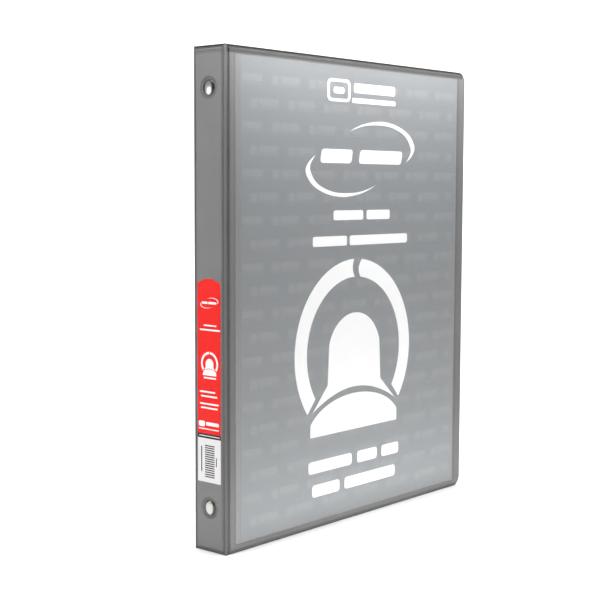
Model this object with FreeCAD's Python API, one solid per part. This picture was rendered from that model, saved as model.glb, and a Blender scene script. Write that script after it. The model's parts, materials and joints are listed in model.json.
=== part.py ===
"""Three-ring view binder, half-inch round rings, closed and standing on its lower edge.

Row frame, millimetres: +Z up along the spine, the spine at -X, the front cover at -Y, the back cover at +Y.
The origin is at the centre of the closed binder's base.

Every cover panel is a board sealed between an outer and an inner vinyl sheet. A panel is drawn flat, in
coordinates (s, z, n): s runs from the hinge towards the free edge, z up, and n outward from the plane in which
the two vinyl sheets are welded together. It is then stood up as the front cover, the back cover or the spine.
"""
import math
import os

import FreeCAD
import Part
from FreeCAD import Vector as V

os.makedirs("parts", exist_ok=True)

# ---------------------------------------------------------------- driving dimensions
HEIGHT = 292.1          # 11.5 in, overall height of the covers
COVER_W = 240.0         # hinge axis to free edge of a cover
HINGE_SPACING = 24.0    # between the two hinge axes
CORNER_R = 7.0          # rounded corners at the covers' free edge

BOARD_T = 1.9           # chipboard
VINYL_T = 0.25          # outer and inner vinyl
FILM_T = 0.15           # clear overlay film
CARD_T = 0.13           # printed sheet, label card
FILM_LIFT = 0.15        # the overlay's weld strip, which makes room for the sheet
BOARD_GAP = 2.8         # hinge axis to a cover's board
SPINE_GAP = 1.9         # hinge axis to the spine's board
FLANGE = 2.2            # board edge to the cover's outer edge
SKIN_SIDE = 0.3         # vinyl outside the board's edge
SKIN_R = 0.6            # rounding of the vinyl over the board's edge
BEAD_R = 0.6            # rolled vinyl on the hinge axis
HINGE_CLEAR = 0.3       # between the roll and the cover's web

OVERLAY = (6.9, 229.6, 5.0, 286.9)      # cover overlay: s0, s1, z0, z1
OVERLAY_WELD = 1.3
INSERT = (11.1, 227.0, 6.9, 286.3)      # 215.9 x 279.4 sheet
SPINE_FILM = (2.0, 22.0, 2.8, 288.2)
SPINE_WELD = 0.5
LABEL = (2.7, 21.3, 41.2, 156.8)        # card on the spine, straight part
LABEL_RISE = 3.1                        # arched top of the card
POCKET = (24.0, 236.2, 3.6, 138.0)      # inside pocket
POCKET_WELD = 1.8
POCKET_NOTCH = 9.0

MECH_RISE = 1.2         # middle of the ring mechanism above mid height
RIVET_HALF = 121.0      # rivets either side of the mechanism's middle
RIVET_SHANK_R = 2.5
RIVET_HEAD_R = 4.5
RIVET_NECK_R = 1.7
DISH_R = 6.6            # sunk seat round each rivet head

PLATE_HALF = 134.0      # arched cover plate of the ring mechanism
PLATE_T = 0.7
CROWN_U = 6.1           # crown above the spine's inner face
CROWN_HALF = 3.5
PIVOT_V = 7.0           # blade pivots, from the middle
PIVOT_U = 3.4           # and above the spine's inner face
CURL_R = 1.45
BLADE_T = 0.8
BLADE_W = 6.8
BLADE_HALF = 132.7
BLADE_ANGLE = 8.0       # closed blades dip by this much towards the spine

RING_PITCH = 107.95     # 4.25 in, standard three-hole letter spacing
RING_U = 9.0            # ring centre above the spine's inner face
RING_RC = 7.45          # ring centreline radius
WIRE_R = 1.25
RING_END = 25.0         # the round part of a ring half ends this far below its middle
STAKE_R = 1.0
TIP_R = 1.6             # rounded tip that meets a hollow in the other half
TIP_GAP = 0.1

TRIGGER_Z = 135.4       # trigger pivots either side of the mechanism's middle
TRIGGER_U = 3.2
BARREL_R = 1.8
BARREL_HALF = 5.9
PIN_R = 0.8
PIN_CLEAR = 0.05
EAR = (6.3, 7.3)
TAB_T = 1.1
TAB_BEND_R = 7.0
TAB_BEND_DEG = 50.0
TONGUE_LEN = 3.7
TONGUE_HALF = 2.0
TONGUE_TOP = 1.8

# ---------------------------------------------------------------- derived
NB = BOARD_T / 2                        # board face
NV = NB + VINYL_T                       # vinyl face
NF0 = NV + FILM_LIFT                    # film, underside
NF1 = NF0 + FILM_T                      # film, outside
X_OUT = -(NF1 + COVER_W) / 2            # spine's outermost face
XP = X_OUT + NF1                        # hinge axes
YP = HINGE_SPACING / 2
XI = XP + NV                            # spine's inner face
ZM = HEIGHT / 2 + MECH_RISE             # middle of the ring mechanism


# ---------------------------------------------------------------- helpers
def rect(s0, s1, z0, z1, n0, n1):
    return Part.makeBox(s1 - s0, z1 - z0, n1 - n0, V(s0, z0, n0))


def rounded(s0, s1, z0, z1, n0, n1, r_near, r_far):
    """A flat slab in (s, z, n) whose corners have radius r_near at s0 and r_far at s1."""
    a = []
    k = math.sqrt(0.5)

    def arc(cx, cy, r, a0):
        p = [V(cx + r * math.cos(math.radians(t)), cy + r * math.sin(math.radians(t)), n0) for t in (a0, a0 + 45, a0 + 90)]
        return Part.Arc(*p).toShape(), p[0], p[2]

    def line(p, q):
        return Part.LineSegment(p, q).toShape()

    corners = [(s1, z0, r_far, -90, (-1, 1)), (s1, z1, r_far, 0, (-1, -1)), (s0, z1, r_near, 90, (1, -1)), (s0, z0, r_near, 180, (1, 1))]
    first = last = None
    for x, y, r, a0, d in corners:
        if r > 0:
            e, p, q = arc(x + d[0] * r, y + d[1] * r, r, a0)
        else:
            e, p, q = None, V(x, y, n0), V(x, y, n0)
        if last is None:
            first = p
        else:
            a.append(line(last, p))
        if e:
            a.append(e)
        last = q
    a.append(line(last, first))
    face = Part.Face(Part.Wire(a))
    return face.extrude(V(0, 0, n1 - n0))


def round_rim(slab, n, r):
    """Rounds the edges of a slab that lie in the plane n."""
    edges = [e for e in slab.Edges if all(abs(v.Z - n) < 1e-6 for v in e.Vertexes) and abs(e.CenterOfMass.z - n) < 1e-6]
    return slab.makeFillet(r, edges)


def revolve(points, at):
    """A ring or disc about the n axis through (s, z) = at, from (radius, n) points."""
    w = Part.makePolygon([V(r, 0, n) for r, n in points] + [V(points[0][0], 0, points[0][1])])
    b = Part.Face(w).revolve(V(0, 0, 0), V(0, 0, 1), 360)
    b.translate(V(at[0], at[1], 0))
    return b


def stand_front(shape):
    m = FreeCAD.Matrix(1, 0, 0, XP, 0, 0, -1, -YP, 0, 1, 0, 0, 0, 0, 0, 1)
    return placed(shape, m)


def stand_spine(shape):
    m = FreeCAD.Matrix(0, 0, -1, XP, -1, 0, 0, YP, 0, 1, 0, 0, 0, 0, 0, 1)
    return placed(shape, m)


def placed(shape, m):
    s = shape.copy()
    s.Placement = FreeCAD.Placement(m).multiply(s.Placement)
    return s


def mirrored(shape):
    return shape.mirror(V(0, 0, 0), V(0, 1, 0))


def check(shape, name):
    solids = shape.Solids
    if not solids or not shape.isValid():
        raise SystemExit(f"{name}: not a valid solid")
    return solids


def save(name, *shapes):
    solids = [s for shape in shapes for s in check(shape, name)]
    out = solids[0] if len(solids) == 1 else Part.makeCompound(solids)
    out.exportStep(f"parts/{name}.step")
    b = out.BoundBox
    print(f"{name:26s} solids {len(solids)}  vol {out.Volume:10.1f}  x {b.XMin:8.2f} {b.XMax:8.2f}  y {b.YMin:7.2f} {b.YMax:7.2f}  z {b.ZMin:7.2f} {b.ZMax:7.2f}")
    return out


# ---------------------------------------------------------------- cover panels
SLAB_Z0 = FLANGE - SKIN_SIDE
WEB_S0 = BEAD_R + HINGE_CLEAR
BOARD_R = CORNER_R - FLANGE


def panel(width, free_edge):
    """(board, outer vinyl, inner vinyl) of a cover, or of the spine if free_edge is False."""
    web1 = width if free_edge else width - 1.0
    web0 = WEB_S0 if free_edge else 1.0
    gap = BOARD_GAP if free_edge else SPINE_GAP
    b1 = width - (FLANGE if free_edge else SPINE_GAP)
    s1 = b1 + SKIN_SIDE
    r_far = CORNER_R if free_edge else 0
    b_far = BOARD_R if free_edge else 0.0
    board = rounded(gap, b1, FLANGE, HEIGHT - FLANGE, -NB, NB, 0, b_far)
    skins = []
    for d in (1, -1):
        lo, hi = (0, VINYL_T) if d > 0 else (-VINYL_T, 0)
        flat = rounded(web0, web1, 0, HEIGHT, lo, hi, 0, r_far)
        slab = rounded(gap - SKIN_SIDE, s1, SLAB_Z0, HEIGHT - SLAB_Z0, min(0, d * NV), max(0, d * NV), 0.8, (b_far + SKIN_SIDE) if free_edge else 0.8)
        slab = round_rim(slab, d * NV, SKIN_R)
        skins.append(flat.fuse(slab).removeSplitter().cut(board))
    return board, skins[0], skins[1]


cover_board, cover_outer, cover_inner = panel(COVER_W, True)

s0, s1, z0, z1 = OVERLAY
overlay = rounded(s0, s1, z0, z1, NF0, NF1, 1.5, 1.5)
weld = rounded(s0, s1, z0, z1, NV, NF0, 1.5, 1.5).cut(rect(s0 + OVERLAY_WELD, s1 - OVERLAY_WELD, z0 + OVERLAY_WELD, z1 + 5, NV - 1, NF1))
overlay = overlay.fuse(weld).removeSplitter()
insert = rounded(*INSERT, NV, NV + CARD_T, 0, 0)

s0, s1, z0, z1 = POCKET
pocket = rounded(s0, s1, z0, z1, -NF1, -NF0, 1.5, 1.5)
pweld = rounded(s0, s1, z0, z1, -NF0, -NV, 1.5, 1.5).cut(rect(s0 + POCKET_WELD, s1 - POCKET_WELD, z0 + POCKET_WELD, z1 + 5, -NF1 - 1, 0))
notch_r = ((s1 - s0) / 3.2) ** 2 / (2 * POCKET_NOTCH) + POCKET_NOTCH / 2
notch = Part.makeCylinder(notch_r, 4, V((s0 + s1) / 2, z1 + notch_r - POCKET_NOTCH, -4), V(0, 0, 1))
pocket = pocket.fuse(pweld).cut(notch).removeSplitter()

for side, turn in (("front", lambda x: x), ("back", mirrored)):
    save(f"{side}_board", turn(stand_front(cover_board)))
    save(f"{side}_outer_vinyl", turn(stand_front(cover_outer)))
    save(f"{side}_inner_vinyl", turn(stand_front(cover_inner)))
    save(f"{side}_clear_overlay", turn(stand_front(overlay)))
    save(f"{side}_inside_pocket", turn(stand_front(pocket)))
save("front_insert_sheet", stand_front(insert))

# ---------------------------------------------------------------- spine panel
spine_board, spine_outer, spine_inner = panel(HINGE_SPACING, False)
film = rounded(*SPINE_FILM, NF0, NF1, 0.8, 0.8)
s0, s1, z0, z1 = SPINE_FILM
fweld = rounded(s0, s1, z0, z1, NV, NF0, 0.8, 0.8).cut(rect(s0 + SPINE_WELD, s1 - SPINE_WELD, z0 + OVERLAY_WELD, z1 + 5, NV - 1, NF1))
film = film.fuse(fweld).removeSplitter()

rivet_at = [(HINGE_SPACING / 2, ZM + RIVET_HALF), (HINGE_SPACING / 2, ZM - RIVET_HALF)]
DIP = 0.6               # how far the rivet seat is sunk
for at in rivet_at:
    def cyl(r, n0, n1):
        return Part.makeCylinder(r, n1 - n0, V(at[0], at[1], n0), V(0, 0, 1))

    k = DISH_R - NB      # the seat's cone has a 45 degree wall: r = k + n
    seat = revolve([(0, NB - DIP), (k + NB - DIP, NB - DIP), (k + NB, NB), (k + NB, NB + 1), (0, NB + 1)], at)
    spine_board = spine_board.cut(seat).cut(cyl(RIVET_SHANK_R, -5, 5))
    kv = k - 0.15
    dish = revolve([(RIVET_SHANK_R, NB - DIP), (k + NB - DIP, NB - DIP), (k + NB, NB), (k + NB, NV), (kv + NV, NV), (kv + NV - DIP, NV - DIP), (RIVET_SHANK_R, NV - DIP)], at)
    spine_outer = spine_outer.cut(cyl(k + NB, 0, NF1 + 1)).fuse(dish).removeSplitter()
    fr = kv + NF0        # the film's own cone, lying on the vinyl's
    fdish = revolve([(RIVET_SHANK_R, NV - DIP), (kv + NV - DIP, NV - DIP), (fr, NF0), (fr, NF1), (fr - FILM_T, NF1), (kv + NV - DIP - FILM_T + 0.06, NV - DIP + FILM_T), (RIVET_SHANK_R, NV - DIP + FILM_T)], at)
    film = film.cut(cyl(fr, NV - 0.5, NF1 + 1)).fuse(fdish).removeSplitter()
    spine_inner = spine_inner.cut(cyl(RIVET_SHANK_R, -5, 5))

s0, s1, z0, z1 = LABEL
mid = (s0 + s1) / 2
label_edges = [
    Part.LineSegment(V(s0, z0, NV), V(s1, z0, NV)).toShape(),
    Part.LineSegment(V(s1, z0, NV), V(s1, z1, NV)).toShape(),
    Part.Arc(V(s1, z1, NV), V(mid, z1 + LABEL_RISE, NV), V(s0, z1, NV)).toShape(),
    Part.LineSegment(V(s0, z1, NV), V(s0, z0, NV)).toShape(),
]
label = Part.Face(Part.Wire(label_edges)).extrude(V(0, 0, CARD_T))

save("spine_board", stand_spine(spine_board))
save("spine_outer_vinyl", stand_spine(spine_outer))
save("spine_inner_vinyl", stand_spine(spine_inner))
save("spine_clear_overlay", stand_spine(film))
save("spine_label_card", stand_spine(label))

# the rolled vinyl of each hinge, with its web to the spine
bead = Part.makeCylinder(BEAD_R, HEIGHT, V(XP, -YP, 0), V(0, 0, 1))
web = Part.makeBox(2 * VINYL_T, 1.0, HEIGHT, V(XP - VINYL_T, -YP, 0))
hinge = bead.fuse(web).removeSplitter()
save("front_hinge_vinyl", hinge)
save("back_hinge_vinyl", mirrored(hinge))


# ---------------------------------------------------------------- ring mechanism: (v, u) is across and away from the spine
def P(v, u, z=0.0):
    return V(XI + u, v, z)


def prism(points, z0, z1):
    w = Part.makePolygon([P(v, u, z0) for v, u in points] + [P(*points[0], z0)])
    return Part.Face(w).extrude(V(0, 0, z1 - z0))


def rod(v, u, r, z0, z1):
    return Part.makeCylinder(r, z1 - z0, P(v, u, z0), V(0, 0, 1))


def uv_box(v0, v1, u0, u1, z0, z1):
    return Part.makeBox(u1 - u0, v1 - v0, z1 - z0, P(v0, u0, z0))


# cover plate: flat crown, sloping sides, curled edges that hold the blades
zp0, zp1 = ZM - PLATE_HALF, ZM + PLATE_HALF
crown_mid = CROWN_U - PLATE_T / 2
curl_mid = CURL_R - PLATE_T / 2
dv, du = PIVOT_V - CROWN_HALF, PIVOT_U - crown_mid
reach = math.hypot(dv, du)
slope = math.atan2(du, dv) + math.asin(curl_mid / reach)
run = math.sqrt(reach**2 - curl_mid**2)
tv, tu = CROWN_HALF + run * math.cos(slope), crown_mid + run * math.sin(slope)
plate = uv_box(-CROWN_HALF, CROWN_HALF, CROWN_U - PLATE_T, CROWN_U, zp0, zp1)
for d in (1, -1):
    nv, nu = -math.sin(slope) * PLATE_T / 2, math.cos(slope) * PLATE_T / 2
    side = prism([(d * (CROWN_HALF + nv), crown_mid + nu), (d * (tv + nv), tu + nu), (d * (tv - nv), tu - nu), (d * (CROWN_HALF - nv), crown_mid - nu)], zp0, zp1)
    knee = rod(d * CROWN_HALF, crown_mid, PLATE_T / 2, zp0, zp1)
    a_top = math.degrees(math.atan2(tu - PIVOT_U, tv - PIVOT_V))
    ring_out = rod(d * PIVOT_V, PIVOT_U, CURL_R, zp0, zp1).cut(rod(d * PIVOT_V, PIVOT_U, CURL_R - PLATE_T, zp0 - 1, zp1 + 1))
    # keep the curl from where the side meets it, round the outside, to 30 degrees past the bottom
    far = 4.0
    gap = [(0, 0)]
    for t in (a_top, 110, 150, 195, 240):
        gap.append((far * math.cos(math.radians(t)), far * math.sin(math.radians(t))))
    cutter = prism([(d * (PIVOT_V + x), PIVOT_U + y) for x, y in gap], zp0 - 1, zp1 + 1)
    plate = plate.fuse([side, knee, ring_out.cut(cutter)])
plate = plate.removeSplitter()

ring_z = [ZM + RING_PITCH, ZM, ZM - RING_PITCH]
for z in ring_z:
    for d in (1, -1):
        plate = plate.cut(uv_box(min(d * 4.4, d * 9.5), max(d * 4.4, d * 9.5), 1.0, 7.0, z - 2.2, z + 2.2))
for z in (ZM + RIVET_HALF, ZM - RIVET_HALF):
    plate = plate.cut(Part.makeCylinder(RIVET_NECK_R, 4, P(0, 4, z), V(1, 0, 0)))
ears = []
for e in (1, -1):
    for d in (1, -1):
        a, b = ZM + e * (PLATE_HALF - 1.0), ZM + e * (TRIGGER_Z + 2.4)
        v0, v1 = sorted((d * EAR[0], d * EAR[1]))
        ear = uv_box(v0, v1, PIVOT_U - CURL_R, 4.6, min(a, b), max(a, b) - 0)
        edge = [x for x in ear.Edges if abs(x.Length - (v1 - v0)) < 1e-6 and all(abs(p.Z - (ZM + e * (TRIGGER_Z + 2.4))) < 1e-6 for p in x.Vertexes)]
        ears.append(ear.makeFillet(1.0, edge))
plate = plate.fuse(ears).removeSplitter()
for e in (1, -1):
    plate = plate.cut(Part.makeCylinder(PIN_R, 20, P(-10, TRIGGER_U, ZM + e * TRIGGER_Z), V(0, 1, 0)))
save("ring_cover_plate", plate)


def ring_half(z, male):
    """One half of a round ring, on the -v side: a round wire, a straight foot, a stake through its blade."""
    c = (0.0, RING_U)
    a_end = math.radians(180 + RING_END)
    start = P(1.2, RING_U + math.sqrt(RING_RC**2 - 1.2**2), z)
    mid_a = math.radians(150)
    m = P(c[0] + RING_RC * math.cos(mid_a), c[1] + RING_RC * math.sin(mid_a), z)
    e = P(c[0] + RING_RC * math.cos(a_end), c[1] + RING_RC * math.sin(a_end), z)
    foot_dir = (-math.sin(a_end), math.cos(a_end))
    foot_len = 3.6
    f = P(c[0] + RING_RC * math.cos(a_end) + foot_len * foot_dir[0], c[1] + RING_RC * math.sin(a_end) + foot_len * foot_dir[1], z)
    path = Part.Wire([Part.Arc(start, m, e).toShape(), Part.LineSegment(e, f).toShape()])
    tangent = path.Edges[0].tangentAt(path.Edges[0].FirstParameter)
    circle = Part.Wire([Part.Circle(start, tangent, WIRE_R).toShape()])
    wire = path.makePipeShell([circle], True, False)
    # tip: a rounded nose on one half, the matching hollow on the other
    tip = (-0.9, RING_U + RING_RC)
    beyond = uv_box(0, 4, RING_U + RING_RC - 4, RING_U + RING_RC + 4, z - 4, z + 4)
    if male:
        wire = wire.cut(beyond.cut(rod(tip[0], tip[1], TIP_R, z - 4, z + 4)))
    else:
        # drawn on the -v side too, so the nose comes from the other side
        wire = wire.cut(beyond).cut(rod(-tip[0], tip[1], TIP_R + TIP_GAP, z - 4, z + 4))
    # the blade's upper face, which the foot stands on
    a = math.radians(-BLADE_ANGLE)
    bd, bn = (math.cos(a), math.sin(a)), (-math.sin(a), math.cos(a))
    o = (-PIVOT_V + bn[0] * BLADE_T / 2, PIVOT_U + bn[1] * BLADE_T / 2)
    below = prism([(o[0] - 5 * bd[0], o[1] - 5 * bd[1]), (o[0] + 9 * bd[0], o[1] + 9 * bd[1]), (o[0] + 9 * bd[0] - 6 * bn[0], o[1] + 9 * bd[1] - 6 * bn[1]), (o[0] - 5 * bd[0] - 6 * bn[0], o[1] - 5 * bd[1] - 6 * bn[1])], z - 4, z + 4)
    wire = wire.cut(below)
    # stake along the foot, through the blade, with its peened head underneath
    q = (c[0] + RING_RC * math.cos(a_end) + 1.5 * foot_dir[0], c[1] + RING_RC * math.sin(a_end) + 1.5 * foot_dir[1])
    axis = V(foot_dir[1], foot_dir[0], 0)
    stake = Part.makeCylinder(STAKE_R, 4.0, P(q[0], q[1], z), axis)
    ub = (-PIVOT_V - bn[0] * BLADE_T / 2, PIVOT_U - bn[1] * BLADE_T / 2)
    under = prism([(ub[0] - 5 * bd[0], ub[1] - 5 * bd[1]), (ub[0] + 9 * bd[0], ub[1] + 9 * bd[1]), (ub[0] + 9 * bd[0] - 6 * bn[0], ub[1] + 9 * bd[1] - 6 * bn[1]), (ub[0] - 5 * bd[0] - 6 * bn[0], ub[1] - 5 * bd[1] - 6 * bn[1])], z - 4, z + 4)
    neck = stake.cut(under)
    # where the stake's axis meets the blade's lower face
    t = ((ub[0] - q[0]) * bn[0] + (ub[1] - q[1]) * bn[1]) / (foot_dir[0] * bn[0] + foot_dir[1] * bn[1])
    h = (q[0] + t * foot_dir[0], q[1] + t * foot_dir[1])
    head = Part.makeCone(1.6, 1.1, 0.5, P(h[0], h[1], z), V(-bn[1], -bn[0], 0))
    return wire.fuse([neck, head]).removeSplitter(), stake


def blade():
    """The -v blade, closed: its inner edge dips towards the spine."""
    a = math.radians(-BLADE_ANGLE)
    bd, bn = (math.cos(a), math.sin(a)), (-math.sin(a), math.cos(a))
    t = BLADE_T / 2
    o = (-PIVOT_V, PIVOT_U)
    pts = [(o[0] + bn[0] * t, o[1] + bn[1] * t), (o[0] + BLADE_W * bd[0] + bn[0] * t, o[1] + BLADE_W * bd[1] + bn[1] * t), (o[0] + BLADE_W * bd[0] - bn[0] * t, o[1] + BLADE_W * bd[1] - bn[1] * t), (o[0] - bn[0] * t, o[1] - bn[1] * t)]
    z0, z1 = ZM - BLADE_HALF, ZM + BLADE_HALF
    b = prism(pts, z0, z1).fuse(rod(o[0], o[1], t, z0, z1)).removeSplitter()
    for z in (ZM + RIVET_HALF, ZM - RIVET_HALF):
        b = b.cut(Part.makeCylinder(RIVET_SHANK_R + 0.5, 8, P(0, 0, z), V(1, 0, 0)))
    return b


left, right = blade(), blade()
rings = {"front": [], "back": []}
for side in ("front", "back"):
    for z, where in zip(ring_z, ("upper", "middle", "lower")):
        body, stake = ring_half(z, side == "front")
        if side == "front":
            left = left.cut(stake)
        else:
            right = right.cut(stake)
        rings[side].append((where, body))
save("front_blade", left)
save("back_blade", mirrored(right))
for where, body in rings["front"]:
    save(f"front_ring_half_{where}", body)
for where, body in rings["back"]:
    save(f"back_ring_half_{where}", mirrored(body))

# rivets: a low head sunk in the spine, a tubular shank, and a neck clinched over the cover plate
for (s, z), where in zip(rivet_at, ("upper", "lower")):
    n_seat = NV - DIP + FILM_T
    u_seat = CROWN_U - PLATE_T

    def x_of(n):
        return -n           # outward is -X, measured from the hinge plane

    pts = []
    prof = [
        (0, NF1), (1.0, NF1 - 0.02), (2.0, NF1 - 0.09), (3.0, NF1 - 0.22), (3.8, NF1 - 0.38), (4.3, NF1 - 0.54), (RIVET_HEAD_R, n_seat + 0.12), (RIVET_HEAD_R, n_seat),
        (RIVET_SHANK_R, n_seat), (RIVET_SHANK_R, -(NV + u_seat)), (RIVET_NECK_R, -(NV + u_seat)), (RIVET_NECK_R, -(NV + CROWN_U)),
        (3.0, -(NV + CROWN_U)), (3.0, -(NV + CROWN_U + 0.25)), (2.6, -(NV + CROWN_U + 0.5)), (1.7, -(NV + CROWN_U + 0.55)), (1.2, -(NV + CROWN_U + 0.2)), (1.1, -(NV + CROWN_U - 4.5)), (0, -(NV + CROWN_U - 4.5)),
    ]
    w = Part.makePolygon([V(-n, r, 0) for r, n in prof] + [V(-prof[0][1], prof[0][0], 0)])
    body = Part.Face(w).revolve(V(0, 0, 0), V(1, 0, 0), 360)
    body.translate(V(XP, 0, z))
    save(f"{where}_rivet", body)


# triggers: a barrel on its pin, a tongue under the blades, a curved finger tab
def trigger():
    """Upper trigger, at z = 0 for its pivot: drawn in (z, u)."""
    half = BARREL_HALF

    def zprism(points, v0, v1):
        w = Part.makePolygon([V(XI + u, v0, z) for z, u in points] + [V(XI + points[0][1], v0, points[0][0])])
        return Part.Face(w).extrude(V(0, v1 - v0, 0))

    barrel = Part.makeCylinder(BARREL_R, 2 * half, V(XI + TRIGGER_U, -half, 0), V(0, 1, 0))
    tongue = zprism([(-TONGUE_LEN, TONGUE_TOP - 0.9), (0.0, TONGUE_TOP - 0.9 + 0.35), (0.0, TRIGGER_U), (-1.35, TONGUE_TOP), (-TONGUE_LEN, TONGUE_TOP)], -TONGUE_HALF, TONGUE_HALF)
    # finger tab: straight, then bent outward
    z_mid, u_bend = 0.3, TRIGGER_U + 4.2
    cz, cu = z_mid + TAB_BEND_R, u_bend
    r_in, r_out = TAB_BEND_R - TAB_T / 2, TAB_BEND_R + TAB_T / 2

    def at(r, deg):
        return V(XI + cu + r * math.sin(math.radians(deg)), 0, cz + r * math.cos(math.radians(deg)))

    a1 = 180 - TAB_BEND_DEG
    am = (180 + a1) / 2
    outer = Part.Arc(at(r_out, 180), at(r_out, am), at(r_out, a1)).toShape()
    inner = Part.Arc(at(r_in, a1), at(r_in, am), at(r_in, 180)).toShape()
    cap_mid = at(TAB_BEND_R, a1 - math.degrees(TAB_T / 2 / TAB_BEND_R))
    cap = Part.Arc(at(r_out, a1), cap_mid, at(r_in, a1)).toShape()
    low_o = V(XI + TRIGGER_U, 0, z_mid - TAB_T / 2)
    low_i = V(XI + TRIGGER_U, 0, z_mid + TAB_T / 2)
    wire = Part.Wire([Part.LineSegment(low_o, at(r_out, 180)).toShape(), outer, cap, inner, Part.LineSegment(at(r_in, 180), low_i).toShape(), Part.LineSegment(low_i, low_o).toShape()])
    tab = Part.Face(wire).extrude(V(0, 16, 0))
    tab.translate(V(0, -8, 0))
    # its outline seen along z: narrow between the ears, then flared with round corners
    u0, u1, u2 = TRIGGER_U, TRIGGER_U + 2.0, TRIGGER_U + 11
    pts = [(-5.9, u0 - 0.1), (5.9, u0 - 0.1), (5.9, u1), (7.2, u1 + 2.2), (7.2, u2), (-7.2, u2), (-7.2, u1 + 2.2), (-5.9, u1)]
    w = Part.makePolygon([V(XI + u, v, -6) for v, u in pts] + [V(XI + pts[0][1], pts[0][0], -6)])
    outline = Part.Face(w).extrude(V(0, 0, 16))
    top = u_bend + r_out * math.sin(math.radians(TAB_BEND_DEG)) + 0.35
    tab = tab.common(outline)
    # round the tab's two upper corners
    for d in (1, -1):
        rr = 3.0
        corner = Part.makeBox(rr + 1, rr + 1, 20, V(XI + top - rr, min(d * (7.2 - rr), d * 8.2), -6))
        keep = Part.makeCylinder(rr, 20, V(XI + top - rr, d * (7.2 - rr), -6), V(0, 0, 1))
        tab = tab.cut(corner.cut(keep))
    t = barrel.fuse([tongue, tab]).removeSplitter()
    return t.cut(Part.makeCylinder(PIN_R + PIN_CLEAR, 20, V(XI + TRIGGER_U, -10, 0), V(0, 1, 0)))


t = trigger()
up = t.copy()
up.translate(V(0, 0, ZM + TRIGGER_Z))
down = t.mirror(V(0, 0, 0), V(0, 0, 1))
down.translate(V(0, 0, ZM - TRIGGER_Z))
save("upper_trigger", up)
save("lower_trigger", down)
for e, where in ((1, "upper"), (-1, "lower")):
    z = ZM + e * TRIGGER_Z
    pin = Part.makeCylinder(PIN_R, 2 * EAR[1], P(-EAR[1], TRIGGER_U, z), V(0, 1, 0))
    heads = [Part.makeCone(1.15, 0.8, 0.35, P(d * EAR[1], TRIGGER_U, z), V(0, d, 0)) for d in (1, -1)]
    save(f"{where}_trigger_pin", pin.fuse(heads).removeSplitter())
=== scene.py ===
import json
import math

import bpy
import numpy as np
from mathutils import Matrix, Vector, noise


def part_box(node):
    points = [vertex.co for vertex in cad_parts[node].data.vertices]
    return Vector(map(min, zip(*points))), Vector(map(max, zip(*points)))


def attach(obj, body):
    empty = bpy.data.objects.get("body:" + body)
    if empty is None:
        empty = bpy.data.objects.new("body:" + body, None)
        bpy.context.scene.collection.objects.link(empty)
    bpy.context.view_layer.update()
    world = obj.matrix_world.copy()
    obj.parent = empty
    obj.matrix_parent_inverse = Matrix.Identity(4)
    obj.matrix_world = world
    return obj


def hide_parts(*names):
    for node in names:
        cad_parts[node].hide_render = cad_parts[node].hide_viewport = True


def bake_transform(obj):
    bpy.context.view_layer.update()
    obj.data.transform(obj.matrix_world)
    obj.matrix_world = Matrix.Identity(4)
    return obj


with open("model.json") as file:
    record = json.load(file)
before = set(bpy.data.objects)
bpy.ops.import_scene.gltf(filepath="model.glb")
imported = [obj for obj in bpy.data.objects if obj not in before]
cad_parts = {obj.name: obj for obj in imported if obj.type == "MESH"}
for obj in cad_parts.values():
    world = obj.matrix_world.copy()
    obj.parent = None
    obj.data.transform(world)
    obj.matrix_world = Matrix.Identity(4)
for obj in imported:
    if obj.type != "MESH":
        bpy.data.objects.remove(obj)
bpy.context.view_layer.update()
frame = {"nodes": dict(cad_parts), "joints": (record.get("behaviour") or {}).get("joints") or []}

# ------------------------------------------------------------------ the row frame, in millimetres
J = {j["name"]: j for j in frame["joints"]}
XP = J["front_cover_hinge"]["pos_m"][0] * 1000      # hinge axes
YP = J["back_cover_hinge"]["pos_m"][1] * 1000


def mm_box(node):
    lo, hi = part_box(node)
    return [v * 1000 for v in lo], [v * 1000 for v in hi]


_lo, _hi = mm_box("front_outer_vinyl")
H = _hi[2]                                          # height of the covers
W = _hi[0] - XP                                     # hinge axis to free edge
NV = -YP - _lo[1]                                   # vinyl face, from the hinge plane
NV = abs(NV)
_lo, _hi = mm_box("front_clear_overlay")
NF1 = abs(_lo[1]) - YP                              # film, outside
OV = (_lo[0] - XP, _hi[0] - XP, _lo[2], _hi[2])
_lo, _hi = mm_box("front_insert_sheet")
INS = (_lo[0] - XP, _hi[0] - XP, _lo[2], _hi[2])
_lo, _hi = mm_box("spine_clear_overlay")
SF = (YP - _hi[1], YP - _lo[1], _lo[2], _hi[2])
_lo, _hi = mm_box("spine_label_card")
LAB = (YP - _hi[1], YP - _lo[1], _lo[2], _hi[2])
_lo, _hi = mm_box("front_inside_pocket")
POC = (_lo[0] - XP, _hi[0] - XP, _lo[2], _hi[2])
SPW = 2 * YP                                        # between the two hinge axes
RIVETS = []
for nm in ("upper_rivet", "lower_rivet"):
    _lo, _hi = mm_box(nm)
    RIVETS.append((nm, YP - (_lo[1] + _hi[1]) / 2, (_lo[2] + _hi[2]) / 2, (_hi[2] - _lo[2]) / 2))
CORNER = 7.0
DIP = 0.6


# ------------------------------------------------------------------ mesh tools
def spaced(length, near, far, step, extra=()):
    """Grid positions from 0 to length, closer together near both ends and round the extra places."""
    pos = set(round(v, 4) for v in near) | set(round(length - v, 4) for v in far) | {0.0, round(length, 4)}
    a, b = max(near), length - max(far)
    k = max(1, int(round((b - a) / step)))
    pos |= set(round(a + (b - a) * i / k, 4) for i in range(k + 1))
    for c, half, st in extra:
        m = int(round(half / st))
        pos |= set(round(c + st * i, 4) for i in range(-m, m + 1) if 0 < c + st * i < length)
    out = []
    for v in sorted(pos):
        if not out or v - out[-1] > 0.055:
            out.append(v)
    if length - out[-1] > 1e-6:
        out[-1] = length if length - out[-1] < 0.056 else out[-1]
        if out[-1] != length:
            out.append(length)
    return np.array(out)


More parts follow.
